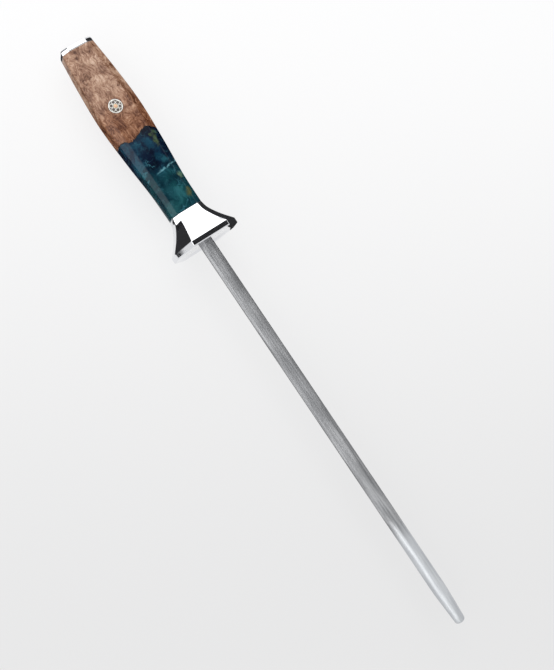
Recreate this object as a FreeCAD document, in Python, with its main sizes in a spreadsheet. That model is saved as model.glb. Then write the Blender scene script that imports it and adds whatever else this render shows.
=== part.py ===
"""Knife sharpening steel: a ribbed honing rod, a flared octagonal guard, a handle of cast resin and burl
wood, and an end cap.

Millimetres. X runs along the rod to its tip, Y across the handle and Z up through its front facet.
The origin is on the rod's axis, in the face of the guard that the rod leaves.
"""
import FreeCAD, Part
import os

import Sketcher

V = FreeCAD.Vector
ALONG_X = FreeCAD.Rotation(V(0, 1, 0), 90)

# Sizes that stand by themselves. "from_neck" is measured from where the handle meets the guard.
SIZES = {
    # the honing rod
    "rod_length": 250.0,
    "rod_diameter": 8.2,
    "taper_length": 24.0,
    "tip_diameter": 6.0,
    "tip_bevel": 1.1,
    "smooth_length": 62.0,
    "rib_count": 48,
    "rib_start": 1.5,
    "rib_depth": 0.22,
    # the tang forged on its inner end
    "tang_length": 88.0,
    "tang_width": 14.0,
    "tang_thickness": 3.8,
    "stud_diameter": 4.0,
    "stud_proud": 1.0,
    # the guard
    "guard_length": 20.6,
    "throat_from_neck": 4.5,
    "flare_from_neck": 11.1,
    "rim_thickness": 3.2,
    "rim_bevel": 0.35,
    # the handle and its end cap
    "handle_length": 105.9,
    "waist_from_neck": 17.4,
    "rise_from_neck": 39.4,
    "belly_from_neck": 64.4,
    "fall_from_neck": 87.4,
    "cap_thickness": 3.4,
    "cap_bevel": 1.7,
    # the wood's natural edge, where the resin was cast on it
    "edge_from_neck": 48.0,
    "edge_pitch": 3.2,
    # the tang's bed
    "bed_thickness": 0.6,
    # the nut and washer that draw the tang back
    "nut_across_flats": 7.0,
    "nut_height": 3.2,
    "washer_diameter": 9.0,
    "washer_thickness": 0.8,
    "recess_depth": 8.5,
    # dowels that keep the guard and the cap in line
    "dowel_diameter": 2.0,
    "dowel_depth": 4.0,
    "guard_dowel_across": 5.2,
    "guard_dowel_up": 4.2,
    "cap_dowel_across": 7.0,
    "cap_dowel_depth": 1.5,
    # the mosaic pin
    "pin_diameter": 8.0,
    "pin_wall": 0.45,
    "petal_wall": 0.32,
    "pin_from_neck": 67.4,
    "pin_across": -1.7,
    # clearances
    "press_gap": 0.02,
    "glue_gap": 0.03,
    "bolt_gap": 0.2,
}

# Octagonal sections: width, depth, width of the front facet, height of the side facet.
SECTIONS = {
    "rim": (40.0, 35.2, 23.0, 10.6),
    "flare": (29.4, 24.4, 17.9, 10.4),
    "throat": (21.2, 16.2, 14.0, 10.2),
    "neck": (18.9, 13.8, 12.8, 10.1),
    "waist": (19.5, 14.2, 13.0, 10.1),
    "rise": (22.7, 15.2, 14.2, 10.2),
    "belly": (25.0, 16.0, 15.2, 10.2),
    "fall": (22.7, 15.0, 13.4, 9.8),
    "heel": (19.6, 13.2, 10.9, 8.7),
}
SECTION_SIZES = ("width", "depth", "front", "side")

# The wood's edge: how far each of its points lies from edge_from_neck, across the handle, left to right.
EDGE_RISES = (0.0, 0.1, 0.4, -1.7, -1.3, 0.0, 1.4, 2.2, 0.0, -2.1, -2.6)

PETAL_COUNT = 6

# Places and sizes that follow from the ones above
NECK = "(- guard_length)"
HEEL = "(- guard_length - handle_length)"
PLACES = {
    "rim": "- rim_thickness",
    "flare": "flare_from_neck - guard_length",
    "throat": "throat_from_neck - guard_length",
    "neck": NECK,
    "waist": "- guard_length - waist_from_neck",
    "rise": "- guard_length - rise_from_neck",
    "belly": "- guard_length - belly_from_neck",
    "fall": "- guard_length - fall_from_neck",
    "heel": HEEL,
}
TANG_END = "(- guard_length - tang_length)"
RECESS_FLOOR = "(- guard_length - handle_length + recess_depth)"
STUD_END = "(- guard_length - handle_length + recess_depth - washer_thickness - nut_height - stud_proud)"
PIN_X = "(- guard_length - pin_from_neck)"
PIN_HALF_LENGTH = "belly_depth"
TUBE_BORE = "(pin_diameter / 2 - pin_wall)"
PETAL_RADIUS = "((pin_diameter / 2 - pin_wall - 2 * press_gap) / 3)"
PETAL_RING = "(2 * (pin_diameter / 2 - pin_wall - 2 * press_gap) / 3 + press_gap)"
PETAL_BORE = "((pin_diameter / 2 - pin_wall - 2 * press_gap) / 3 - petal_wall)"

document = FreeCAD.newDocument("sharpening_steel")
sheet = document.addObject("Spreadsheet::Sheet", "sizes")


def fill_sheet():
    """One row for each size: its name, and its value with that name as its alias."""
    values = dict(SIZES)
    for section, numbers in SECTIONS.items():
        for word, number in zip(SECTION_SIZES, numbers):
            values[f"{section}_{word}"] = number
    for index, rise in enumerate(EDGE_RISES):
        values[f"edge_rise_{index}"] = rise
    for row, (name, number) in enumerate(values.items(), 1):
        sheet.set(f"A{row}", name)
        sheet.set(f"B{row}", str(number))
        sheet.setAlias(f"B{row}", name)
    document.recompute()
    return values


NAMES = fill_sheet()


def read(formula):
    """The expression that reads a formula's sizes from the sheet."""
    words = formula.replace("(", "( ").replace(")", " )").split(" ")
    return " ".join(f"sizes.{word}" if word in NAMES else word for word in words)


def bind(thing, **formulas):
    """Bind properties to formulas of sizes. A double underscore stands for a dot in a property's path."""
    for path, formula in formulas.items():
        thing.setExpression(path.replace("__", "."), read(formula))
    return thing


# ---- PartDesign bodies

def new_body(name):
    body = document.addObject("PartDesign::Body", name)
    body.Label = name
    return body


def origin_feature(body, role):
    return next(part for part in body.Origin.OriginFeatures if part.Role == role)


def new_sketch(body, name, plane="YZ_Plane", offset=None):
    """A sketch on one of the body's own origin planes, moved along the plane's normal."""
    sketch = body.newObject("Sketcher::SketchObject", name)
    sketch.AttachmentSupport = [(origin_feature(body, plane), "")]
    sketch.MapMode = "FlatFace"
    if offset:
        bind(sketch, AttachmentOffset__Base__z=offset)
    return sketch


def bound_distance(sketch, direction, geometry, point, formula):
    """Hold a point at a bound distance from the sketch's origin, along one direction."""
    index = sketch.addConstraint(Sketcher.Constraint(direction, -1, 1, geometry, point, 1.0))
    sketch.setExpression(f"Constraints[{index}]", read(formula))


def outline(sketch, points):
    """A closed outline through points given as pairs of formulas."""
    count = len(points)
    guesses = [V(number(across), number(up), 0) for across, up in points]
    for index in range(count):
        sketch.addGeometry(Part.LineSegment(guesses[index], guesses[(index + 1) % count]), False)
    for index in range(count):
        sketch.addConstraint(Sketcher.Constraint("Coincident", index, 2, (index + 1) % count, 1))
    for index, (across, up) in enumerate(points):
        for direction, formula, axis in (("DistanceX", across, -2), ("DistanceY", up, -1)):
            if formula == "0":
                sketch.addConstraint(Sketcher.Constraint("PointOnObject", index, 1, axis))
            else:
                bound_distance(sketch, direction, index, 1, formula)
    return sketch


def number(formula):
    """A formula's value now, for a sketch's first guess."""
    return float(sheet.evalExpression(read(formula)))


def circle(sketch, across, up, radius):
    """A circle whose centre and radius are formulas."""
    centre = V(number(across), number(up), 0)
    index = sketch.addGeometry(Part.Circle(centre, V(0, 0, 1), number(radius)), False)
    for direction, formula, axis in (("DistanceX", across, -2), ("DistanceY", up, -1)):
        if formula == "0":
            sketch.addConstraint(Sketcher.Constraint("PointOnObject", index, 3, axis))
        else:
            bound_distance(sketch, direction, index, 3, formula)
    held = sketch.addConstraint(Sketcher.Constraint("Radius", index, 1.0))
    sketch.setExpression(f"Constraints[{held}]", read(radius))
    return sketch


def octagon(body, section):
    """One of the octagonal sections, where it lies along the rod's axis."""
    sketch = new_sketch(body, f"{body.Label}_{section}", offset=PLACES[section])
    half = {word: f"{section}_{word} / 2" for word in SECTION_SIZES}
    corners = [("width", "side"), ("front", "depth")]
    right = [(half[across], half[up]) for across, up in corners]
    left = [(f"- {across}", up) for across, up in reversed(right)]
    under = [(across, f"- {up}") for across, up in reversed(right + left)]
    return outline(sketch, right + left + under)


def loft(body, sections):
    sketches = [octagon(body, section) for section in sections]
    feature = body.newObject("PartDesign::AdditiveLoft", f"{body.Label}_loft")
    feature.Profile = sketches[0]
    feature.Sections = sketches[1:]
    document.recompute()
    return sketches


def pad(body, sketch, length, back=False):
    feature = body.newObject("PartDesign::Pad", f"{sketch.Label}_pad")
    feature.Profile = sketch
    feature.Reversed = back
    bind(feature, Length=length)
    document.recompute()
    return feature


def pocket(body, sketch, length=None, ahead=False):
    """Cut a sketch to a length behind its plane, or ahead of it. With no length, both ways through all."""
    before = body.Shape.Volume
    feature = body.newObject("PartDesign::Pocket", f"{sketch.Label}_pocket")
    feature.Profile = sketch
    feature.Reversed = ahead
    if length:
        bind(feature, Length=length)
    else:
        feature.Type = "ThroughAll"
        feature.Midplane = True
    document.recompute()
    assert body.Shape.Volume < before, f"{sketch.Label} cuts nothing"
    return feature


def edges_at(shape, x):
    """The names of the edges that lie in the plane across the axis at x."""
    return [
        f"Edge{index}"
        for index, edge in enumerate(shape.Edges, 1)
        if all(abs(vertex.X - x) < 1e-4 for vertex in edge.Vertexes)
    ]


def bevel(body, feature, x, width):
    chamfer = body.newObject("PartDesign::Chamfer", f"{body.Label}_bevel")
    chamfer.Base = (feature, edges_at(feature.Shape, number(x)))
    bind(chamfer, Size=width)
    document.recompute()


# ---- Part primitives and booleans

def cylinder(name, radius, length, x="0", y="0", z="0", along_x=False):
    """A cylinder from the point (x, y, z), along X or up Z."""
    solid = document.addObject("Part::Cylinder", name)
    if along_x:
        solid.Placement = FreeCAD.Placement(V(), ALONG_X)
    return bind(
        solid,
        Radius=radius,
        Height=length,
        Placement__Base__x=x,
        Placement__Base__y=y,
        Placement__Base__z=z,
    )


def box(name, x, length, width, height):
    """A box ahead of x, centred on the rod's axis."""
    solid = document.addObject("Part::Box", name)
    return bind(
        solid,
        Length=length,
        Width=width,
        Height=height,
        Placement__Base__x=x,
        Placement__Base__y=f"(- {width}) / 2",
        Placement__Base__z=f"(- {height}) / 2",
    )


def cut(name, base, *tools):
    """The base without the tools."""
    if len(tools) > 1:
        joined = document.addObject("Part::MultiFuse", f"{name}_tools")
        joined.Shapes = list(tools)
        tools = (joined,)
    solid = document.addObject("Part::Cut", name)
    solid.Base = base
    solid.Tool = tools[0]
    solid.Label = name
    return solid


def common(name, base, tool):
    solid = document.addObject("Part::Common", name)
    solid.Base = base
    solid.Tool = tool
    solid.Label = name
    return solid


def group(name, solids):
    """Separate solids as one object."""
    compound = document.addObject("Part::Compound", name)
    compound.Links = list(solids)
    compound.Label = name
    return compound


# ---- The pieces

def honing_rod():
    """The hardened rod with its ribs and tapered tip, and the flat tang and threaded stud behind it."""
    body = new_body("honing_rod")
    profile = new_sketch(body, "rod_profile", "XY_Plane")
    outline(
        profile,
        [
            (NECK, "0"),
            (NECK, "rod_diameter / 2"),
            ("rod_length - taper_length", "rod_diameter / 2"),
            ("rod_length - tip_bevel", "tip_diameter / 2"),
            ("rod_length", "tip_diameter / 2 - tip_bevel"),
            ("rod_length", "0"),
        ],
    )
    rod = body.newObject("PartDesign::Revolution", "rod")
    rod.Profile = profile
    rod.ReferenceAxis = (profile, ["H_Axis"])
    rod.Angle = 360
    document.recompute()

    flat = new_sketch(body, "tang", offset=NECK)
    across, up = "tang_width / 2", "tang_thickness / 2"
    outline(flat, [(across, up), (f"- {across}", up), (f"- {across}", f"- {up}"), (across, f"- {up}")])
    pad(body, flat, "tang_length", back=True)
    stud = circle(new_sketch(body, "stud", offset=TANG_END), "0", "0", "stud_diameter / 2")
    pad(body, stud, f"{TANG_END} - {STUD_END}", back=True)
    hole = new_sketch(body, "tang_hole", "XY_Plane")
    pocket(body, circle(hole, PIN_X, "pin_across", "pin_diameter / 2 + glue_gap"))

    # each V reaches as far above the rod as it cuts into it, so at the surface it is one pitch wide,
    # and the glue gap beyond that leaves the crest between two of them sharp
    rib = new_sketch(body, "rib", offset="rib_start")
    half_width = "(pi * rod_diameter / rib_count + glue_gap)"
    outline(
        rib,
        [
            ("0", "rod_diameter / 2 - rib_depth"),
            (half_width, "rod_diameter / 2 + rib_depth"),
            (f"- {half_width}", "rod_diameter / 2 + rib_depth"),
        ],
    )
    groove = pocket(body, rib, "rod_length - smooth_length - rib_start", ahead=True)
    ribs = body.newObject("PartDesign::PolarPattern", "ribs")
    ribs.Originals = [groove]
    ribs.Axis = (origin_feature(body, "X_Axis"), [""])
    ribs.Angle = 360
    bind(ribs, Occurrences="rib_count")
    body.Tip = ribs
    document.recompute()
    return body


def guard():
    """The polished guard: an octagon that flares from the handle's neck to its rim, bored for the rod."""
    body = new_body("guard")
    sketches = loft(body, ("neck", "throat", "flare", "rim"))
    rim = pad(body, sketches[-1], "rim_thickness")
    bevel(body, rim, "0", "rim_bevel")
    bore = circle(new_sketch(body, "rod_bore"), "0", "0", "rod_diameter / 2 + press_gap")
    pocket(body, bore)
    holes = new_sketch(body, "guard_dowel_holes", offset=NECK)
    circle(holes, "guard_dowel_across", "guard_dowel_up", "dowel_diameter / 2 + glue_gap")
    circle(holes, "(- guard_dowel_across)", "(- guard_dowel_up)", "dowel_diameter / 2 + glue_gap")
    pocket(body, holes, "dowel_depth + glue_gap", ahead=True)
    return body


def end_cap():
    """The polished cap on the handle's heel, with blind holes for its dowels."""
    body = new_body("end_cap")
    heel = octagon(body, "heel")
    plate = pad(body, heel, "cap_thickness", back=True)
    bevel(body, plate, f"{HEEL} - cap_thickness", "cap_bevel")
    holes = new_sketch(body, "cap_dowel_holes", offset=HEEL)
    circle(holes, "cap_dowel_across", "0", "dowel_diameter / 2 + glue_gap")
    circle(holes, "(- cap_dowel_across)", "0", "dowel_diameter / 2 + glue_gap")
    pocket(body, holes, "cap_dowel_depth + glue_gap")
    return body


def handle_blank():
    """The whole outside of the handle, from the guard to the end cap."""
    body = new_body("handle_blank")
    loft(body, ("neck", "waist", "rise", "belly", "fall", "heel"))
    return body


def wood_side():
    """All the space on the wood's side of its natural edge."""
    body = new_body("wood_side")
    sketch = new_sketch(body, "natural_edge", "XY_Plane")
    middle = (len(EDGE_RISES) - 1) // 2
    edge = [
        (f"- guard_length - edge_from_neck - edge_rise_{index}", f"edge_pitch * ({index - middle})")
        for index in range(len(EDGE_RISES))
    ]
    edge[middle] = (edge[middle][0], "0")
    behind = f"{HEEL} - cap_thickness"
    outline(sketch, edge + [(behind, edge[-1][1]), (behind, edge[0][1])])
    feature = pad(body, sketch, "2 * belly_depth")
    feature.Midplane = True
    document.recompute()
    return body


def dowels(name, places, start, length):
    """A pair of dowels along X from start, at places given as pairs of formulas."""
    return group(
        name,
        [
            cylinder(f"{name}_{index}", "dowel_diameter / 2", length, start, y, z, along_x=True)
            for index, (y, z) in enumerate(places)
        ],
    )


def dowel_holes(name, places, start, length):
    radius = "dowel_diameter / 2 + glue_gap"
    return [
        cylinder(f"{name}_{index}", radius, length, start, y, z, along_x=True)
        for index, (y, z) in enumerate(places)
    ]


GUARD_DOWELS = [("guard_dowel_across", "guard_dowel_up"), ("(- guard_dowel_across)", "(- guard_dowel_up)")]
CAP_DOWELS = [("cap_dowel_across", "0"), ("(- cap_dowel_across)", "0")]


def handle_sections(blank):
    """The resin and the burl wood, with the slot for the tang's bed, the recess and the drilled holes."""
    wood = wood_side()
    bed_x = f"{TANG_END} - bed_thickness"
    slot = box(
        "tang_slot",
        bed_x,
        "tang_length + bed_thickness",
        "(tang_width + 2 * bed_thickness)",
        "(tang_thickness + 2 * bed_thickness)",
    )
    pin_hole = cylinder(
        "pin_hole",
        "pin_diameter / 2 + glue_gap",
        f"2 * {PIN_HALF_LENGTH}",
        PIN_X,
        "pin_across",
        f"- {PIN_HALF_LENGTH}",
    )
    stud_hole = cylinder(
        "stud_hole", "stud_diameter / 2 + bolt_gap", f"{TANG_END} - {RECESS_FLOOR}", RECESS_FLOOR, along_x=True
    )
    recess = cylinder("recess", "washer_diameter / 2 + bolt_gap", "recess_depth", HEEL, along_x=True)
    front_holes = dowel_holes(
        "front_hole", GUARD_DOWELS, f"{NECK} - dowel_depth - glue_gap", "dowel_depth + glue_gap"
    )
    heel_holes = dowel_holes("heel_hole", CAP_DOWELS, HEEL, "dowel_depth + glue_gap")
    resin_blank = cut("resin_blank", blank, wood)
    wood_blank = common("wood_blank", blank, wood)
    resin = cut("resin_section", resin_blank, slot, *front_holes)
    burl = cut("burl_section", wood_blank, slot, pin_hole, stud_hole, recess, *heel_holes)
    return resin, burl


def tang_bed():
    """The cured epoxy that fills the slot around the tang."""
    whole = box(
        "bed_block",
        f"{TANG_END} - bed_thickness + glue_gap",
        "tang_length + bed_thickness - glue_gap",
        "(tang_width + 2 * bed_thickness - 2 * glue_gap)",
        "(tang_thickness + 2 * bed_thickness - 2 * glue_gap)",
    )
    tang_space = box(
        "tang_space",
        f"{TANG_END} - glue_gap",
        "tang_length + glue_gap",
        "(tang_width + 2 * glue_gap)",
        "(tang_thickness + 2 * glue_gap)",
    )
    pin_space = cylinder(
        "bed_pin_space",
        "pin_diameter / 2 + glue_gap",
        f"2 * {PIN_HALF_LENGTH}",
        PIN_X,
        "pin_across",
        f"- {PIN_HALF_LENGTH}",
    )
    stud_space = cylinder(
        "bed_stud_space",
        "stud_diameter / 2 + glue_gap",
        "2 * bed_thickness",
        f"{TANG_END} - 2 * bed_thickness",
        along_x=True,
    )
    return cut("tang_bedding", whole, tang_space, pin_space, stud_space)


def washer():
    plate = cylinder(
        "washer_plate",
        "washer_diameter / 2",
        "washer_thickness",
        f"{RECESS_FLOOR} - washer_thickness",
        along_x=True,
    )
    bore = cylinder(
        "washer_bore",
        "stud_diameter / 2 + bolt_gap",
        "washer_thickness",
        f"{RECESS_FLOOR} - washer_thickness",
        along_x=True,
    )
    return cut("tang_washer", plate, bore)


def nut():
    back = f"{RECESS_FLOOR} - washer_thickness - nut_height"
    prism = document.addObject("Part::Prism", "nut_prism")
    prism.Polygon = 6
    prism.Placement = FreeCAD.Placement(V(), ALONG_X)
    bind(
        prism,
        Circumradius="nut_across_flats / 2 / cos(30)",
        Height="nut_height",
        Placement__Base__x=back,
    )
    thread = cylinder("nut_bore", "stud_diameter / 2 + press_gap", "nut_height", back, along_x=True)
    return cut("tang_nut", prism, thread)


def upright(name, radius, ring="0", angle=0.0):
    """A cylinder up through the handle, a ring's radius from the mosaic pin's axis."""
    return cylinder(
        name,
        radius,
        f"2 * {PIN_HALF_LENGTH}",
        f"{PIN_X} + {ring} * cos({angle})",
        f"pin_across + {ring} * sin({angle})",
        f"- {PIN_HALF_LENGTH}",
    )


def petals(name, radius):
    """Six cylinders in a ring round the mosaic pin's axis."""
    step = 360 / PETAL_COUNT
    return [upright(f"{name}_{index}", radius, PETAL_RING, index * step) for index in range(PETAL_COUNT)]


def mosaic_pin(blank):
    """A tube that holds a ring of small tubes round a middle one, with resin between them.

    Each piece is ground flush with the handle's front and back.
    """
    tube = cut("tube_blank", upright("tube_outside", "pin_diameter / 2"), upright("tube_inside", TUBE_BORE))
    rings = [
        cut(f"petal_tube_{index}", outside, inside)
        for index, (outside, inside) in enumerate(
            zip(petals("petal_outside", PETAL_RADIUS), petals("petal_inside", PETAL_BORE))
        )
    ]
    centre = cut(
        "centre_blank", upright("centre_outside", PETAL_RADIUS), upright("centre_inside", PETAL_BORE)
    )
    core = upright("centre_core", f"{PETAL_BORE} - press_gap")
    around = f"{PETAL_RADIUS} + glue_gap"
    web = cut(
        "filler_web",
        upright("filler_disc", f"{TUBE_BORE} - press_gap"),
        upright("centre_space", around),
        *petals("petal_space", around),
    )
    cores = petals("petal_core", f"{PETAL_BORE} - press_gap")
    return [
        common("pin_tube", tube, blank),
        common("pin_petal_tubes", group("petal_tubes", rings), blank),
        common("pin_centre_tube", centre, blank),
        common("pin_centre_rod", core, blank),
        common("pin_filler", group("filler", [web, *cores]), blank),
    ]


def build():
    blank = handle_blank()
    pieces = [honing_rod(), guard(), end_cap(), *handle_sections(blank), tang_bed(), washer(), nut()]
    pieces.append(dowels("guard_dowels", GUARD_DOWELS, f"{NECK} - dowel_depth", "2 * dowel_depth"))
    cap_dowel_start = f"{HEEL} - cap_dowel_depth"
    pieces.append(dowels("cap_dowels", CAP_DOWELS, cap_dowel_start, "dowel_depth + cap_dowel_depth"))
    pieces += mosaic_pin(blank)
    document.recompute()
    return pieces


def check(pieces):
    for thing in document.Objects:
        assert not {"Invalid", "Error"} & set(thing.State), f"{thing.Label}: {thing.State}"
    for piece in pieces:
        shape = piece.Shape
        assert not shape.isNull() and shape.isValid(), f"{piece.Label} has no valid shape"
        print(f"{piece.Label:18} {len(shape.Solids):3} solids {shape.Volume:10.2f} mm3")


def export(pieces):
    os.makedirs("parts", exist_ok=True)
    for piece in pieces:
        piece.Shape.exportStep(f"parts/{piece.Label}.step")


made = build()
check(made)
export(made)
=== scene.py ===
"""Knife sharpening steel, seen from above on a white table.

Metres, in the CAD frame: X along the rod to its tip, Y across the handle, Z up out of the front facet.
"""
import bmesh
import bpy
import math
from mathutils import Matrix, Vector, noise


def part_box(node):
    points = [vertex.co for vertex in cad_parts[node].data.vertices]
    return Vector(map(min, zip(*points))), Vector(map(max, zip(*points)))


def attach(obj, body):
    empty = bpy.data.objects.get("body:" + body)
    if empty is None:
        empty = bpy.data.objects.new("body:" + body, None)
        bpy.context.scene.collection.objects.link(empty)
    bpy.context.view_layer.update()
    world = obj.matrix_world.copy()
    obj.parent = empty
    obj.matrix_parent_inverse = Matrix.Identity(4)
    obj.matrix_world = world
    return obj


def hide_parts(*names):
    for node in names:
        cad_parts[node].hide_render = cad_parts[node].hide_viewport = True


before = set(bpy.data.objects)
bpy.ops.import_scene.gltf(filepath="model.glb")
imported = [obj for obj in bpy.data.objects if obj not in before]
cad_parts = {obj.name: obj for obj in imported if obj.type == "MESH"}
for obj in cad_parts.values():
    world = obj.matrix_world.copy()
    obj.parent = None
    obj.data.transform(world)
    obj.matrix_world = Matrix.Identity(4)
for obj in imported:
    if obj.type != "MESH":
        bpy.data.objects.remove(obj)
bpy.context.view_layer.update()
MM = 0.001

# ---- Places that the frame gives

CAP_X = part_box("end_cap")[0].x
TIP_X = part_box("honing_rod")[1].x
FLOOR_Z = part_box("guard")[0].z
PIN_LOW, PIN_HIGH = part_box("pin_tube")
PIN = (PIN_LOW + PIN_HIGH) / 2
ROD_RADIUS = 4.1 * MM
SMOOTH_LENGTH = 62 * MM
TAPER_LENGTH = 24 * MM
TIP_RADIUS = 3 * MM
RIB_COUNT = 48
RIB_DEPTH = 0.22 * MM

# Half sizes of the octagonal sections in millimetres: place along X, width, depth, front facet, side facet
GUARD_SECTIONS = [
    (-20.6, 9.45, 6.9, 6.4, 5.05),
    (-16.1, 10.6, 8.1, 7.0, 5.1),
    (-9.5, 14.7, 12.2, 8.95, 5.2),
    (-3.2, 20.0, 17.6, 11.5, 5.3),
]
HANDLE_SECTIONS = [
    (-20.6, 9.45, 6.9, 6.4, 5.05),
    (-38.0, 9.75, 7.1, 6.5, 5.05),
    (-60.0, 11.35, 7.6, 7.1, 5.1),
    (-85.0, 12.5, 8.0, 7.6, 5.1),
    (-108.0, 11.35, 7.5, 6.7, 4.9),
    (-126.5, 9.8, 6.6, 5.45, 4.35),
]

# The wood's natural edge: its place along X in millimetres at points across the handle, 3.2 mm apart
EDGE = [-68.6, -68.7, -69.0, -66.9, -67.3, -68.6, -70.0, -70.8, -68.6, -66.5, -66.0]
EDGE_PITCH = 3.2


def colour(red, green, blue):
    """A display colour, 0 to 255 a channel, as the linear colour that shaders take."""
    channels = (red, green, blue)
    return tuple(((c / 255 + 0.055) / 1.055) ** 2.4 if c > 10 else c / 3294.6 for c in channels) + (1,)


# ---- Shapes

def spline(stations, x):
    """The sizes at x on a smooth curve through the stations, in the stations' own units."""
    if stations[0][0] > stations[-1][0]:
        stations = stations[::-1]
    count = len(stations)
    index = max(i for i in range(count - 1) if i == 0 or stations[i][0] <= x)

    def slope(i, k):
        low, high = max(i - 1, 0), min(i + 1, count - 1)
        return (stations[high][k] - stations[low][k]) / (stations[high][0] - stations[low][0])

    a, b = stations[index], stations[index + 1]
    span = b[0] - a[0]
    t = (x - a[0]) / span
    return [
        (2 * t**3 - 3 * t**2 + 1) * a[k]
        + (t**3 - 2 * t**2 + t) * span * slope(index, k)
        + (3 * t**2 - 2 * t**3) * b[k]
        + (t**3 - t**2) * span * slope(index + 1, k)
        for k in range(1, len(a))
    ]


def octagon(sizes, inset=0.0, rounding=0.45, flat_steps=14, arc_steps=4):
    """Points round an octagonal section, in millimetres, with its corners rounded."""
    width, depth, front, side = sizes
    width, depth = width - inset, depth - inset
    front, side = front - 0.45 * inset, side - 0.45 * inset
    quarter = [(width, side), (front, depth)]
    corners = quarter + [(-y, z) for y, z in quarter[::-1]]
    corners += [(-y, -z) for y, z in corners]
    corners = [Vector(corner) for corner in corners]
    points = []
    for index, corner in enumerate(corners):
        before = (corner - corners[index - 1]).normalized()
        after = (corners[(index + 1) % 8] - corner).normalized()
        start, end = corner - before * rounding, corner + after * rounding
        for step in range(arc_steps + 1):
            t = step / arc_steps
            points.append((1 - t) ** 2 * start + 2 * t * (1 - t) * corner + t**2 * end)
        next_start = corners[(index + 1) % 8] - after * rounding
        for step in range(1, flat_steps):
            points.append(end.lerp(next_start, step / flat_steps))
    return points


def tube_mesh(name, rings):
    """A closed mesh through rings of points in millimetres. Each ring holds as many points as the others."""
    count = len(rings[0])
    vertices = [point * MM for ring in rings for point in ring]
    faces = []
    for ring in range(len(rings) - 1):
        for index in range(count):
            a, b = ring * count + index, ring * count + (index + 1) % count
            faces.append((a, b, b + count, a + count))
    for ring in (0, len(rings) - 1):
        middle = sum(rings[ring], Vector()) / count
        vertices.append(middle * MM)
        hub = len(vertices) - 1
        first = ring * count
        faces += [(first + index, first + (index + 1) % count, hub) for index in range(count)]
    mesh = bpy.data.meshes.new(name)
    mesh.from_pydata(vertices, [], faces)
    mesh.validate()
    tidy_normals(mesh)
    return mesh


def tidy_normals(mesh):
    work = bmesh.new()
    work.from_mesh(mesh)
    bmesh.ops.recalc_face_normals(work, faces=work.faces)
    work.to_mesh(mesh)
    work.free()
    mesh.shade_smooth()


def add_piece(name, mesh, material, slot, *nodes):
    """A modelled piece that stands for CAD nodes and moves with the body."""
    piece = bpy.data.objects.new(name, mesh)
    bpy.context.scene.collection.objects.link(piece)
    mesh.materials.append(material)
    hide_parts(*nodes)
    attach(piece, "root")
    return piece


def section_ring(stations, x, inset=0.0, rounding=0.45):
    return [Vector((x, y, z)) for y, z in octagon(spline(stations, x), inset, rounding)]


# ---- Materials

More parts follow.
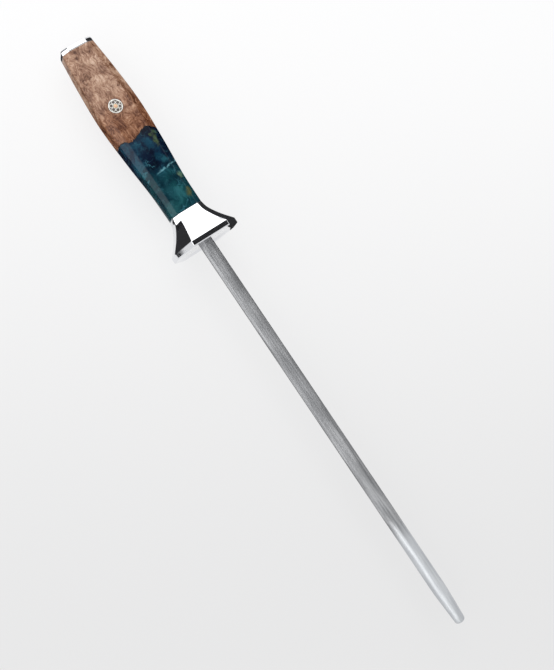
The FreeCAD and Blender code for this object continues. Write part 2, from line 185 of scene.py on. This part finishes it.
class Nodes:
    """A small hand for building one material's node tree."""

    def __init__(self, name):
        self.material = bpy.data.materials.new(name)
        self.material.use_nodes = True
        self.tree = self.material.node_tree
        self.shader = self.tree.nodes["Principled BSDF"]

    def add(self, kind, inputs=None, **settings):
        node = self.tree.nodes.new(kind)
        for key, value in settings.items():
            setattr(node, key, value)
        for key, value in (inputs or {}).items():
            self.feed(node.inputs[key], value)
        return node

    def feed(self, socket, value):
        if isinstance(value, bpy.types.NodeSocket):
            self.tree.links.new(value, socket)
        else:
            socket.default_value = value

    def set(self, **values):
        for key, value in values.items():
            self.feed(self.shader.inputs[key.replace("_", " ")], value)

    def place(self, scale=(1, 1, 1)):
        """The object's own coordinates, in millimetres, stretched by scale."""
        coordinates = self.add("ShaderNodeTexCoord").outputs["Object"]
        size = [part / MM for part in scale]
        return self.add("ShaderNodeMapping", {"Vector": coordinates, "Scale": size}).outputs[0]

    def noise(self, vector, scale, detail=4.0, roughness=0.5):
        inputs = {"Vector": vector, "Scale": scale, "Detail": detail, "Roughness": roughness}
        return self.add("ShaderNodeTexNoise", inputs).outputs["Fac"]

    def warp(self, vector, scale, amount):
        """The vector pushed about by a slow noise."""
        push = self.add("ShaderNodeTexNoise", {"Vector": vector, "Scale": scale, "Detail": 2.0})
        centred = self.add(
            "ShaderNodeVectorMath", {0: push.outputs["Color"], 1: (0.5, 0.5, 0.5)}, operation="SUBTRACT"
        )
        scaled = self.add("ShaderNodeVectorMath", {0: centred.outputs[0], "Scale": amount}, operation="SCALE")
        return self.add(
            "ShaderNodeVectorMath", {0: vector, 1: scaled.outputs[0]}, operation="ADD"
        ).outputs[0]

    def along(self, vector):
        """The part of a vector that runs along the rod."""
        return self.add("ShaderNodeSeparateXYZ", {0: vector}).outputs["X"]

    def edge(self):
        """The distance from the wood's natural edge, in millimetres."""
        return self.add("ShaderNodeAttribute", attribute_name="edge").outputs["Fac"]

    def stretch(self, vector, scale):
        return self.add("ShaderNodeVectorMath", {0: vector, 1: scale}, operation="MULTIPLY").outputs[0]

    def blot(self, place, centre, size, raggedness):
        """A soft ragged patch round a place: 1 inside, 0 outside. Millimetres."""
        moved = self.add("ShaderNodeVectorMath", {0: place, 1: centre}, operation="SUBTRACT").outputs[0]
        scaled = self.stretch(moved, [1 / part for part in size])
        reach = self.add("ShaderNodeVectorMath", {0: scaled}, operation="LENGTH").outputs["Value"]
        centred = self.math("SUBTRACT", self.noise(place, 0.6, 4.0, 0.6), 0.5)
        rough = self.math("MULTIPLY", centred, raggedness)
        return self.ramp(self.math("ADD", reach, rough), 0.35, 1.25, 1.0, 0.0)

    def math(self, operation, first, second=0.0):
        return self.add("ShaderNodeMath", {0: first, 1: second}, operation=operation).outputs[0]

    def ramp(self, value, low, high, to_low=0.0, to_high=1.0):
        """A smooth step from to_low at low to to_high at high."""
        return self.add(
            "ShaderNodeMapRange",
            {"Value": value, "From Min": low, "From Max": high, "To Min": to_low, "To Max": to_high},
            interpolation_type="SMOOTHSTEP",
        ).outputs[0]

    def colours(self, value, stops):
        node = self.add("ShaderNodeValToRGB", {"Fac": value})
        elements = node.color_ramp.elements
        for place, shade in stops[1:-1]:
            elements.new(place).color = shade
        elements[0].position, elements[0].color = stops[0]
        elements[-1].position, elements[-1].color = stops[-1]
        return node.outputs["Color"]

    def mix(self, factor, first, second):
        """One colour laid over another by a factor."""
        node = self.add("ShaderNodeMix", data_type="RGBA")
        self.feed(node.inputs[0], factor)
        self.feed(node.inputs[6], first)
        self.feed(node.inputs[7], second)
        return node.outputs[2]

    def bump(self, height, strength, distance):
        node = self.add("ShaderNodeBump", {"Height": height, "Strength": strength, "Distance": distance})
        self.set(Normal=node.outputs[0])


def polished_steel():
    """Mirror-polished stainless, with faint wipe marks."""
    n = Nodes("polished_steel")
    marks = n.noise(n.place((0.3, 2, 2)), 1.0, 3.0)
    n.set(
        Base_Color=colour(232, 233, 236),
        Metallic=1.0,
        Roughness=n.ramp(marks, 0.35, 0.75, 0.03, 0.09),
    )
    return n.material


def rod_steel():
    """Hardened steel, ground lengthwise: fine lines along the rod, a soft sheen and a paler smooth end. The
    ribbed stretch's darker colour is partly its ground finish and partly painted shade for the darker
    reflections along the ribs.
    """
    n = Nodes("rod_steel")
    place = n.place()
    lines = n.noise(n.stretch(place, (0.03, 2.2, 2.2)), 1.0, 2.0, 0.5)
    patches = n.noise(n.stretch(place, (0.05, 0.3, 0.3)), 1.0, 2.0)
    along = n.along(place)
    smooth_x = (TIP_X - SMOOTH_LENGTH) / MM
    smooth = n.ramp(along, smooth_x - 10.0, smooth_x + 12.0)
    # Partly painted shade: the ribbed stretch is coloured darker than the smooth end, for its finish and for
    # the darker reflections along its ribs
    ribbed_finish_and_shade = n.mix(n.ramp(patches, 0.3, 0.7), colour(150, 151, 153), colour(180, 181, 183))
    plain = n.mix(n.ramp(patches, 0.3, 0.7), colour(198, 201, 205), colour(214, 217, 220))
    shade = n.mix(smooth, ribbed_finish_and_shade, plain)
    drawn = n.math("MULTIPLY", n.ramp(lines, 0.4, 0.65), n.ramp(smooth, 0.0, 1.0, 0.5, 0.15))
    n.set(
        Base_Color=n.mix(drawn, shade, colour(96, 98, 101)),
        Metallic=1.0,
        Roughness=n.ramp(smooth, 0.0, 1.0, 0.4, 0.5),
    )
    return n.material


def burl_wood():
    """Stabilised burl: curled pink-brown fibres, eyes, dark specks and a redder end by the resin."""
    n = Nodes("burl_wood")
    place = n.place()
    curled = n.warp(n.warp(place, 0.05, 18.0), 0.16, 5.0)
    fibres = n.noise(n.stretch(curled, (0.16, 1.1, 1.1)), 1.0, 4.0, 0.62)
    fine = n.noise(n.stretch(curled, (0.5, 3.2, 3.2)), 1.0, 3.0, 0.6)
    mottle = n.noise(curled, 0.16, 5.0, 0.62)
    level = n.math("ADD", n.math("MULTIPLY", fibres, 0.42), n.math("MULTIPLY", fine, 0.13))
    level = n.math("ADD", level, n.math("MULTIPLY", mottle, 0.45))
    pale = n.colours(
        level,
        [
            (0.39, colour(84, 50, 34)),
            (0.44, colour(130, 92, 70)),
            (0.49, colour(163, 125, 102)),
            (0.54, colour(189, 153, 129)),
            (0.60, colour(216, 186, 164)),
        ],
    )
    warm = n.colours(
        level,
        [
            (0.39, colour(62, 26, 14)),
            (0.45, colour(100, 56, 34)),
            (0.50, colour(134, 86, 58)),
            (0.55, colour(160, 112, 82)),
            (0.62, colour(192, 150, 120)),
        ],
    )
    along = n.along(n.warp(place, 0.08, 22.0))
    wood = n.mix(n.ramp(along, -98.0, -80.0, 0.1, 0.9), pale, warm)

    cells = n.add("ShaderNodeTexVoronoi", {"Vector": curled, "Scale": 0.13, "Randomness": 1.0})
    eyes = cells.outputs["Distance"]
    rings = n.ramp(n.math("SINE", n.math("MULTIPLY", eyes, 34.0)), 0.0, 1.0)
    near_eye = n.ramp(eyes, 0.06, 0.36, 0.42, 0.0)
    wood = n.mix(n.math("MULTIPLY", rings, near_eye), wood, colour(104, 64, 45))

    specks = n.ramp(n.noise(curled, 2.2, 2.0), 0.62, 0.72)
    wood = n.mix(n.math("MULTIPLY", specks, 0.7), wood, colour(74, 42, 28))
    stains = n.ramp(n.noise(n.warp(place, 0.15, 8.0), 0.13, 2.0), 0.58, 0.7)
    wood = n.mix(n.math("MULTIPLY", stains, 0.55), wood, colour(98, 58, 40))

    broken = n.noise(place, 0.5, 2.0)
    line = n.math("MULTIPLY", n.ramp(n.edge(), 0.1, 0.7, 1.0, 0.0), n.ramp(broken, 0.3, 0.55))
    wood = n.mix(line, wood, colour(30, 20, 16))
    wood = n.mix(pin_glue(n), wood, colour(34, 22, 16))
    n.set(Base_Color=wood, Roughness=n.ramp(fine, 0.3, 0.7, 0.16, 0.26), Specular_IOR_Level=0.28)
    n.bump(fine, 0.05, 0.03 * MM)
    return n.material


def pin_glue(n):
    """A thin dark ring where the mosaic pin is glued into the wood."""
    coordinates = n.add("ShaderNodeTexCoord").outputs["Object"]
    moved = n.add(
        "ShaderNodeVectorMath", {0: coordinates, 1: (PIN.x, PIN.y, 0)}, operation="SUBTRACT"
    ).outputs[0]
    flat = n.add("ShaderNodeVectorMath", {0: moved, 1: (1, 1, 0)}, operation="MULTIPLY").outputs[0]
    away = n.add("ShaderNodeVectorMath", {0: flat}, operation="LENGTH").outputs["Value"]
    radius = (PIN_HIGH.x - PIN_LOW.x) / 2
    return n.ramp(away, radius + 0.05 * MM, radius + 0.4 * MM, 0.9, 0.0)


# Patches that show in the resin: centre and half sizes in millimetres, strength and colour
RESIN_PATCHES = [
    ((-62.5, 6.5, 7.0), (3.8, 1.5, 4.0), 0.6, (84, 104, 62)),
    ((-65.5, 8.5, 6.0), (2.0, 1.6, 4.0), 0.5, (88, 110, 74)),
    ((-62.0, 1.5, 7.5), (3.6, 2.6, 5.0), 0.5, (18, 74, 96)),
    ((-53.0, 2.5, 7.5), (3.2, 2.4, 5.0), 0.45, (16, 66, 86)),
    ((-56.0, -3.5, 7.5), (6.0, 4.0, 5.0), 0.75, (12, 24, 46)),
    ((-50.5, 5.0, 7.0), (2.0, 2.4, 4.0), 0.5, (44, 104, 118)),
    ((-38.5, 7.2, 6.0), (2.4, 1.5, 4.0), 0.6, (120, 150, 116)),
    ((-28.5, 6.2, 6.0), (2.6, 1.8, 4.0), 0.65, (92, 92, 44)),
    ((-33.0, -2.0, 7.0), (6.0, 4.0, 5.0), 0.4, (36, 88, 98)),
    ((-25.0, -6.0, 5.0), (4.0, 4.0, 5.0), 0.4, (50, 104, 108)),
]


def cast_resin():
    """Polished cast resin: navy by the wood, teal by the guard, with mist, a pale vein and patches."""
    n = Nodes("cast_resin")
    place = n.place()
    swirled = n.warp(n.warp(place, 0.06, 16.0), 0.2, 5.0)
    drift = n.noise(swirled, 0.09, 5.0, 0.58)
    along = n.along(n.warp(place, 0.1, 14.0))
    deep = n.colours(
        drift,
        [
            (0.38, colour(6, 12, 30)),
            (0.48, colour(10, 24, 46)),
            (0.56, colour(14, 44, 66)),
            (0.66, colour(26, 74, 94)),
        ],
    )
    green = n.colours(
        drift,
        [
            (0.36, colour(8, 34, 48)),
            (0.48, colour(14, 52, 62)),
            (0.57, colour(20, 68, 74)),
            (0.66, colour(42, 98, 104)),
        ],
    )
    resin = n.mix(n.ramp(along, -56.0, -36.0), deep, green)
    wavering = n.warp(place, 0.25, 5.0)
    for centre, size, strength, shade in RESIN_PATCHES:
        patch = n.blot(wavering, centre, size, 1.6)
        resin = n.mix(n.math("MULTIPLY", patch, strength), resin, colour(*shade))

    folds = n.math("ABSOLUTE", n.math("SUBTRACT", n.noise(swirled, 0.13, 3.0, 0.5), 0.5))
    here_and_there = n.ramp(n.noise(place, 0.11, 1.0), 0.5, 0.66)
    threads = n.math("MULTIPLY", n.ramp(folds, 0.0, 0.02, 1.0, 0.0), here_and_there)
    resin = n.mix(n.math("MULTIPLY", threads, 0.45), resin, colour(74, 140, 156))
    mist = n.ramp(n.noise(n.warp(place, 0.35, 3.0), 0.45, 5.0, 0.68), 0.52, 0.72)
    resin = n.mix(n.math("MULTIPLY", mist, 0.3), resin, colour(62, 116, 130))
    resin = n.mix(n.math("MULTIPLY", pale_vein(n, place), 0.75), resin, colour(118, 176, 188))

    resin = n.mix(n.ramp(n.edge(), 0.0, 0.4, 0.9, 0.0), resin, colour(8, 8, 12))
    n.set(Base_Color=resin, Roughness=0.1, Specular_IOR_Level=0.22)
    return n.material


def pale_vein(n, place):
    """A broken, slightly slanting pale line across the resin. Millimetres."""
    vein_x, slant = -45.4, 0.17
    parts = n.add("ShaderNodeSeparateXYZ", {0: n.warp(place, 0.4, 2.4)}).outputs
    line = n.math("ADD", parts["X"], n.math("MULTIPLY", parts["Y"], slant))
    away = n.math("ABSOLUTE", n.math("SUBTRACT", line, vein_x))
    gaps = n.ramp(n.noise(place, 0.45, 2.0), 0.36, 0.58)
    right_side = n.ramp(parts["Y"], -5.0, 0.5)
    broken = n.math("MULTIPLY", gaps, right_side)
    return n.math("MULTIPLY", n.ramp(away, 0.1, 0.9, 1.0, 0.0), broken)


def pin_metal(name, shade, roughness):
    """Plain ground metal with fine marks."""
    n = Nodes(name)
    marks = n.noise(n.place((3, 3, 3)), 1.0, 3.0)
    n.set(
        Base_Color=n.mix(n.ramp(marks, 0.3, 0.7, 0.0, 0.4), shade, colour(214, 208, 200)),
        Metallic=1.0,
        Roughness=n.ramp(marks, 0.3, 0.7, roughness, roughness + 0.12),
    )
    return n.material


def pin_resin():
    """The dark gritty resin between the pin's tubes."""
    n = Nodes("pin_resin")
    grit = n.noise(n.place(), 6.0, 3.0)
    n.set(Base_Color=n.mix(grit, colour(58, 52, 47), colour(112, 104, 95)), Roughness=0.3)
    return n.material


def table_white():
    """The table: pale, with painted light: brighter to the camera at the top of the picture than at its foot,
    in both its colour and its glow.
    """
    n = Nodes("table_white")
    far = n.add("ShaderNodeVectorMath", {0: n.place(), 1: UP}, operation="DOT_PRODUCT").outputs["Value"]
    # Painted light: the table's colour falls from 1.0 at the top of the picture to 0.82 at its foot
    painted_falloff = n.ramp(far, -230.0, 190.0, 0.82, 1.0)
    blue = n.math("MULTIPLY", painted_falloff, 1.004)
    shade = n.add("ShaderNodeCombineColor", {0: painted_falloff, 1: painted_falloff, 2: blue}).outputs[0]
    n.set(Base_Color=shade, Roughness=0.9, Specular_IOR_Level=0.0)
    lit = n.add("ShaderNodeEmission", {"Color": shade, "Strength": 1.0}).outputs[0]
    rays = n.add("ShaderNodeLightPath").outputs
    reflected = n.math("MAXIMUM", rays["Is Glossy Ray"], rays["Is Transmission Ray"])
    seen = n.math("MAXIMUM", rays["Is Camera Ray"], reflected)
    mixed = n.add("ShaderNodeMixShader")
    n.feed(mixed.inputs[0], n.math("MULTIPLY", seen, 0.8))
    n.feed(mixed.inputs[1], n.shader.outputs[0])
    n.feed(mixed.inputs[2], lit)
    output = n.tree.nodes["Material Output"]
    n.feed(output.inputs["Surface"], mixed.outputs[0])
    return n.material


# ---- Camera: above the steel, turned a little to its left side, with the tip to the lower right

TURN = math.radians(17)
ROD_ANGLE = math.radians(56.06)
LOOK_AT = Vector((63.3, 4.0 * math.cos(TURN), 4.0 * math.sin(TURN))) * MM
DISTANCE = 0.58
TOWARDS = Vector((0, -math.sin(TURN), math.cos(TURN)))
ALONG = Vector((1, 0, 0))
ACROSS = Vector((0, math.cos(TURN), math.sin(TURN)))
RIGHT = ALONG * math.cos(ROD_ANGLE) + ACROSS * math.sin(ROD_ANGLE)
UP = ACROSS * math.cos(ROD_ANGLE) - ALONG * math.sin(ROD_ANGLE)
FRAME_HEIGHT = 367.16 * MM  # what the picture takes in, from top to bottom
SENSOR_HEIGHT = 36.0


def add_camera():
    camera = bpy.data.cameras.new("camera")
    camera.sensor_fit = "VERTICAL"
    camera.sensor_height = SENSOR_HEIGHT
    camera.lens = SENSOR_HEIGHT * DISTANCE / FRAME_HEIGHT
    camera.clip_start = 0.01
    holder = bpy.data.objects.new("camera", camera)
    turned = Matrix((RIGHT, UP, TOWARDS)).transposed().to_4x4()
    holder.matrix_world = Matrix.Translation(LOOK_AT + TOWARDS * DISTANCE) @ turned
    bpy.context.scene.collection.objects.link(holder)
    bpy.context.scene.camera = holder


# ---- Studio

def softbox(name, centre, width, height, radiance, aim=(0, 0, 0)):
    """A rectangular soft light that faces aim, as bright per area as radiance says."""
    light = bpy.data.lights.new(name, "AREA")
    light.shape = "RECTANGLE"
    light.size, light.size_y = width, height
    light.energy = radiance * math.pi * width * height
    holder = bpy.data.objects.new(name, light)
    holder.location = centre
    holder.rotation_euler = (Vector(aim) - Vector(centre)).to_track_quat("-Z", "Y").to_euler()
    bpy.context.scene.collection.objects.link(holder)
    return holder


def flag(name, corners):
    """A black card that only shows in reflections, to give polished metal its dark edges."""
    mesh = bpy.data.meshes.new(name)
    mesh.from_pydata(corners, [], [(0, 1, 2, 3)])
    card = bpy.data.objects.new(name, mesh)
    bpy.context.scene.collection.objects.link(card)
    n = Nodes(name)
    n.set(Base_Color=(0.035, 0.035, 0.037, 1), Roughness=1.0, Specular_IOR_Level=0.0)
    mesh.materials.append(n.material)
    card.visible_camera = False
    card.visible_diffuse = False
    card.visible_shadow = False


def upright_card(start, end, low, high):
    """Corners of a card that stands on edge, from one place on the table to another."""
    (x0, y0), (x1, y1) = start, end
    return [(x0, y0, low), (x1, y1, low), (x1, y1, high), (x0, y0, high)]


def level_card(x0, y0, x1, y1, z):
    """Corners of a card that lies flat."""
    return [(x0, y0, z), (x1, y0, z), (x1, y1, z), (x0, y1, z)]


def pale_world():
    """A plain world: a dim fill light that looks pale to the camera and in reflections."""
    world = bpy.data.worlds.new("studio")
    world.use_nodes = True
    tree = world.node_tree
    rays = tree.nodes.new("ShaderNodeLightPath").outputs
    seen = rays["Is Camera Ray"]
    for kind in ("Is Glossy Ray", "Is Transmission Ray"):
        either = tree.nodes.new("ShaderNodeMath")
        either.operation = "MAXIMUM"
        tree.links.new(seen, either.inputs[0])
        tree.links.new(rays[kind], either.inputs[1])
        seen = either.outputs[0]
    strength = tree.nodes.new("ShaderNodeMapRange")
    strength.inputs["To Min"].default_value = 0.4
    strength.inputs["To Max"].default_value = 0.9
    tree.links.new(seen, strength.inputs["Value"])
    background = tree.nodes["Background"]
    background.inputs["Color"].default_value = (1, 1, 1, 1)
    tree.links.new(strength.outputs[0], background.inputs["Strength"])
    return world


def add_studio():
    """Soft lamps, a pale world, the black cards that polished steel reflects, and the table."""
    scene = bpy.context.scene
    scene.view_settings.view_transform = "Standard"
    scene.world = pale_world()
    softbox("left_softbox", (-0.1, -0.95, 0.85), 2.0, 1.0, 1.2)
    softbox("end_softbox_low", (-0.9, 0.28, 0.3), 0.9, 0.62, 1.2, aim=(0, 0.02, 0.3))
    softbox("end_softbox_high", (-0.62, 0.25, 0.78), 0.9, 0.62, 1.2)
    overhead = softbox("overhead_softbox", (0.05, 0.1, 1.2), 1.6, 1.6, 0.5)
    overhead.visible_glossy = False

    just_above = FLOOR_Z + 0.3 * MM
    flag("overhead_flag", level_card(-0.2, -0.1, 0.16, 0.42, 0.75))
    flag("right_flag", upright_card((-0.45, 0.3), (0.1, 0.3), FLOOR_Z, 0.12))
    flag("right_mat_flag", level_card(-0.16, 0.021, 0.02, 0.3, just_above))
    flag("left_mat_flag", level_card(-0.35, -0.3, -0.022, -0.0135, just_above))
    flag("back_left_flag", upright_card((-0.35, -0.05), (-0.2, -0.3), FLOOR_Z, 0.09))

    mesh = bpy.data.meshes.new("table")
    half = 3.0
    mesh.from_pydata(level_card(-half, -half, half, half, FLOOR_Z), [], [(0, 1, 2, 3)])
    table = bpy.data.objects.new("table", mesh)
    scene.collection.objects.link(table)
    mesh.materials.append(table_white())


# ---- Pieces

def edge_x(y, z):
    """Where the wood's natural edge lies at a place across the section, in millimetres along X."""
    place = min(max(y / EDGE_PITCH + (len(EDGE) - 1) / 2, 0), len(EDGE) - 1.001)
    index = int(place)
    t = place - index
    t = t * t * (3 - 2 * t)
    straight = EDGE[index] * (1 - t) + EDGE[index + 1] * t
    coarse = noise.noise(Vector((y * 0.9, z * 0.9, 3.1))) * 0.55
    fine = noise.noise(Vector((y * 2.7, z * 2.7, 8.2))) * 0.22
    return straight + coarse + fine


OUTLINES = {}
OUTLINES_PER_MM = 5


def octagon_point(x, index):
    """A point of the handle's section at x, between sections kept at every fifth of a millimetre."""
    low = math.floor(x * OUTLINES_PER_MM)
    heel, neck = HANDLE_SECTIONS[-1][0], HANDLE_SECTIONS[0][0]
    for key in (low, low + 1):
        if key not in OUTLINES:
            place = min(max(key / OUTLINES_PER_MM, heel), neck)
            OUTLINES[key] = octagon(spline(HANDLE_SECTIONS, place))
    t = x * OUTLINES_PER_MM - low
    y, z = OUTLINES[low][index].lerp(OUTLINES[low + 1][index], t)
    return Vector((x, y, z))


def handle_piece(name, end_x, material, slot, node):
    """One part of the handle, from the natural edge to its other end.

    Its edge attribute is the distance from the natural edge in millimetres.
    """
    steps = 110
    far_from_edge = 9.0
    base = octagon(spline(HANDLE_SECTIONS, EDGE[len(EDGE) // 2]))
    edges = [edge_x(y, z) for y, z in base]
    rings, distances = [], []
    for step in range(steps + 1):
        t = (step / steps) ** 1.25
        places = [edge + (end_x - edge) * t for edge in edges]
        rings.append([octagon_point(x, index) for index, x in enumerate(places)])
        distances += [abs(x - edge) for x, edge in zip(places, edges)]
    mesh = tube_mesh(name, rings)
    attribute = mesh.attributes.new("edge", "FLOAT", "POINT")
    distances += [far_from_edge] * (len(mesh.vertices) - len(distances))
    attribute.data.foreach_set("value", distances)
    return add_piece(name, mesh, material, slot, node)


def guard_piece(material):
    """The guard: its flare, the rim's band with its broken edges, and the face round the rod."""
    rings = []
    start, rim = GUARD_SECTIONS[0][0], GUARD_SECTIONS[-1][0]
    steps = 60
    for step in range(steps):
        x = start + (rim - 0.12 - start) * step / (steps - 1)
        rings.append(section_ring(GUARD_SECTIONS, x, rounding=0.3))
    band = spline(GUARD_SECTIONS, rim)
    flat_band = [(rim + 0.04, 0.02), (rim + 0.2, 0.02), (-0.6, 0.02), (-0.42, 0.02)]
    broken_edge = [(-0.3, 0.08), (-0.1, 0.25), (0, 0.4), (0, 1.0)]
    for x, inset in flat_band + broken_edge:
        rings.append([Vector((x, y, z)) for y, z in octagon(band, inset, 0.3)])
    bore = ROD_RADIUS / MM + 0.02
    for x in (0.0, -3.0):
        rings.append([circle_point(point, bore, x) for point in rings[-1]])
    mesh = tube_mesh("guard_polished", rings)
    return add_piece("guard_polished", mesh, material, "polished_steel", "guard")


def circle_point(point, radius, x):
    """The point of a circle round the rod's axis at the same angle as another point."""
    angle = math.atan2(point.z, point.y)
    return Vector((x, radius * math.cos(angle), radius * math.sin(angle)))


def cap_piece(material):
    """The end cap: straight at its joint, then rounded over to a flat end."""
    start, end = HANDLE_SECTIONS[-1][0], CAP_X / MM
    sizes = HANDLE_SECTIONS[-1][1:]
    bevel = 1.9
    straight = octagon(sizes, 0.03, 0.4)
    rings = [[Vector((x, y, z)) for y, z in straight] for x in (start, start - 0.7, end + bevel)]
    steps = 10
    for step in range(1, steps + 1):
        angle = math.pi / 2 * step / steps
        inset = 0.03 + bevel * (1 - math.cos(angle))
        x = end + bevel * (1 - math.sin(angle))
        rings.append([Vector((x, y, z)) for y, z in octagon(sizes, inset, 0.5)])
    mesh = tube_mesh("end_cap_polished", rings)
    return add_piece("end_cap_polished", mesh, material, "polished_steel", "end_cap")


def rod_outline():
    """Stations along the rod: place, radius, and how deep its ribs are from 0 to 1. Millimetres."""
    radius, tip, tip_radius = ROD_RADIUS / MM, TIP_X / MM, TIP_RADIUS / MM
    ribs_end = tip - SMOOTH_LENGTH / MM
    taper = tip - TAPER_LENGTH / MM
    ribs_start, steps = 1.9, 40
    places = [(-18.0, 0.0), (0.9, 0.0), (ribs_start, 1.0)]
    places += [(ribs_start + (ribs_end - 7.9) * step / steps, 1.0) for step in range(1, steps + 1)]
    places += [(ribs_end - 3, 0.6), (ribs_end, 0.0)]
    return [(x, radius, depth) for x, depth in places] + [
        (taper, radius, 0.0),
        (taper + 4, radius - 0.06, 0.0),
        (tip - 5, tip_radius + 0.22, 0.0),
        (tip - 1.6, tip_radius, 0.0),
        (tip - 0.9, tip_radius - 0.25, 0.0),
        (tip - 0.3, tip_radius - 0.85, 0.0),
        (tip, tip_radius - 1.7, 0.0),
    ]


def rod_piece(material):
    """The rod: sharp ribs that fade out at the smooth stretch, then the taper and the rounded tip."""
    points_per_rib = 4
    count = RIB_COUNT * points_per_rib
    rings = []
    for x, ring_radius, depth in rod_outline():
        ring = []
        for index in range(count):
            angle = 2 * math.pi * index / count
            crest = abs((index % points_per_rib) / points_per_rib * 2 - 1)
            here = ring_radius - depth * RIB_DEPTH / MM * (1 - crest)
            ring.append(Vector((x, here * math.cos(angle), here * math.sin(angle))))
        rings.append(ring)
    mesh = tube_mesh("honing_rod_ground", rings)
    return add_piece("honing_rod_ground", mesh, material, "rod_steel", "honing_rod")


def pin_profile(inner, outer, drop):
    """One end of a pin's tube or rod, from its bore outwards: distance from its axis, depth. Millimetres."""
    soft = 0.06
    start = inner + soft if inner else 0.02
    steps = max(2, round((outer - inner) / 0.25))
    flat = [(start + (outer - soft - start) * step / steps, drop) for step in range(steps + 1)]
    bore = [(inner, drop + soft)] if inner else []
    return bore + flat + [(outer, drop + soft)]


def pin_rings(name, centres, inner, outer, drop, material, slot, node):
    """Closed tubes or rods through the handle, their ends on the mosaic pin's low dome. Millimetres."""
    around, proud, dome = 40, 0.05, 0.12
    middle_x, middle_y = PIN.x / MM, PIN.y / MM
    top, radius = PIN_HIGH.z / MM + proud, (PIN_HIGH.x - PIN_LOW.x) / 2 / MM
    profile = pin_profile(inner, outer, drop)
    path = [(reach, low, 1) for reach, low in profile] + [(reach, low, -1) for reach, low in profile[::-1]]
    vertices, faces = [], []
    for centre_x, centre_y in centres:
        first = len(vertices)
        for reach, low, side in path:
            for index in range(around):
                angle = 2 * math.pi * index / around
                x, y = centre_x + reach * math.cos(angle), centre_y + reach * math.sin(angle)
                height = top - low + dome * (1 - (x * x + y * y) / radius**2)
                vertices.append(Vector((middle_x + x, middle_y + y, side * height)) * MM)
        rows = len(path)
        for row in range(rows if inner else rows - 1):
            this, following = first + row * around, first + (row + 1) % rows * around
            for index in range(around):
                beside = (index + 1) % around
                faces.append((this + index, this + beside, following + beside, following + index))
        if not inner:
            faces.append(tuple(first + index for index in range(around)))
            faces.append(tuple(first + (rows - 1) * around + index for index in range(around)))
    mesh = bpy.data.meshes.new(name)
    mesh.from_pydata(vertices, [], faces)
    tidy_normals(mesh)
    return add_piece(name, mesh, material, slot, node)


def mosaic_pin():
    """The pin's pieces: tube, ring of six small tubes, brass tube, copper rod and dark resin."""
    outer, wall, petal, petal_bore = 4.0, 0.45, 1.17, 0.85
    ring = 2 * petal + 0.02
    angles = [math.radians(60 * index) for index in range(6)]
    petals = [(ring * math.cos(angle), ring * math.sin(angle)) for angle in angles]
    bright = pin_metal("nickel_silver", colour(250, 248, 243), 0.4)
    middle = [(0, 0)]
    pin_rings("pin_tube_end", middle, outer - wall, outer, 0.0, bright, "nickel_silver", "pin_tube")
    pin_rings("pin_petal_ends", petals, petal_bore, petal, 0.01, bright, "nickel_silver", "pin_petal_tubes")
    brass = pin_metal("pin_brass", colour(236, 212, 150), 0.4)
    pin_rings("pin_brass_end", middle, petal_bore, petal, 0.01, brass, "pin_brass", "pin_centre_tube")
    copper = pin_metal("pin_copper", colour(226, 170, 140), 0.4)
    pin_rings("pin_copper_end", middle, 0.0, petal_bore - 0.02, 0.02, copper, "pin_copper", "pin_centre_rod")
    pin_rings("pin_resin_end", middle, 0.0, outer - wall - 0.02, 0.04, pin_resin(), "pin_resin", "pin_filler")


def epoxy():
    """Cured bedding epoxy: amber-grey and cloudy, with fine bubbles."""
    n = Nodes("epoxy")
    place = n.place()
    shade = n.mix(n.noise(place, 0.3, 3.0), colour(150, 138, 112), colour(186, 174, 146))
    bubbles = n.ramp(n.noise(place, 3.0, 1.0), 0.66, 0.72)
    n.set(Base_Color=n.mix(bubbles, shade, colour(214, 206, 186)), Roughness=0.35)
    return n.material


def inner_fittings():
    """Finishes for the CAD nodes that stay, hidden inside the handle."""
    steel = pin_metal("hardware_steel", colour(188, 190, 194), 0.3)
    finishes = {"tang_bedding": epoxy()}
    for name in ("tang_washer", "tang_nut", "guard_dowels", "cap_dowels"):
        finishes[name] = steel
    for name, finish in finishes.items():
        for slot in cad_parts[name].material_slots:
            slot.material = finish


def build():
    """Every piece of the steel, and the finishes of the fittings inside it."""
    steel = polished_steel()
    guard_piece(steel)
    cap_piece(steel)
    rod_piece(rod_steel())
    handle_piece("resin_cast", HANDLE_SECTIONS[0][0], cast_resin(), "cast_resin", "resin_section")
    handle_piece("burl_turned", HANDLE_SECTIONS[-1][0], burl_wood(), "burl_wood", "burl_section")
    mosaic_pin()
    inner_fittings()


build()
add_camera()
add_studio()
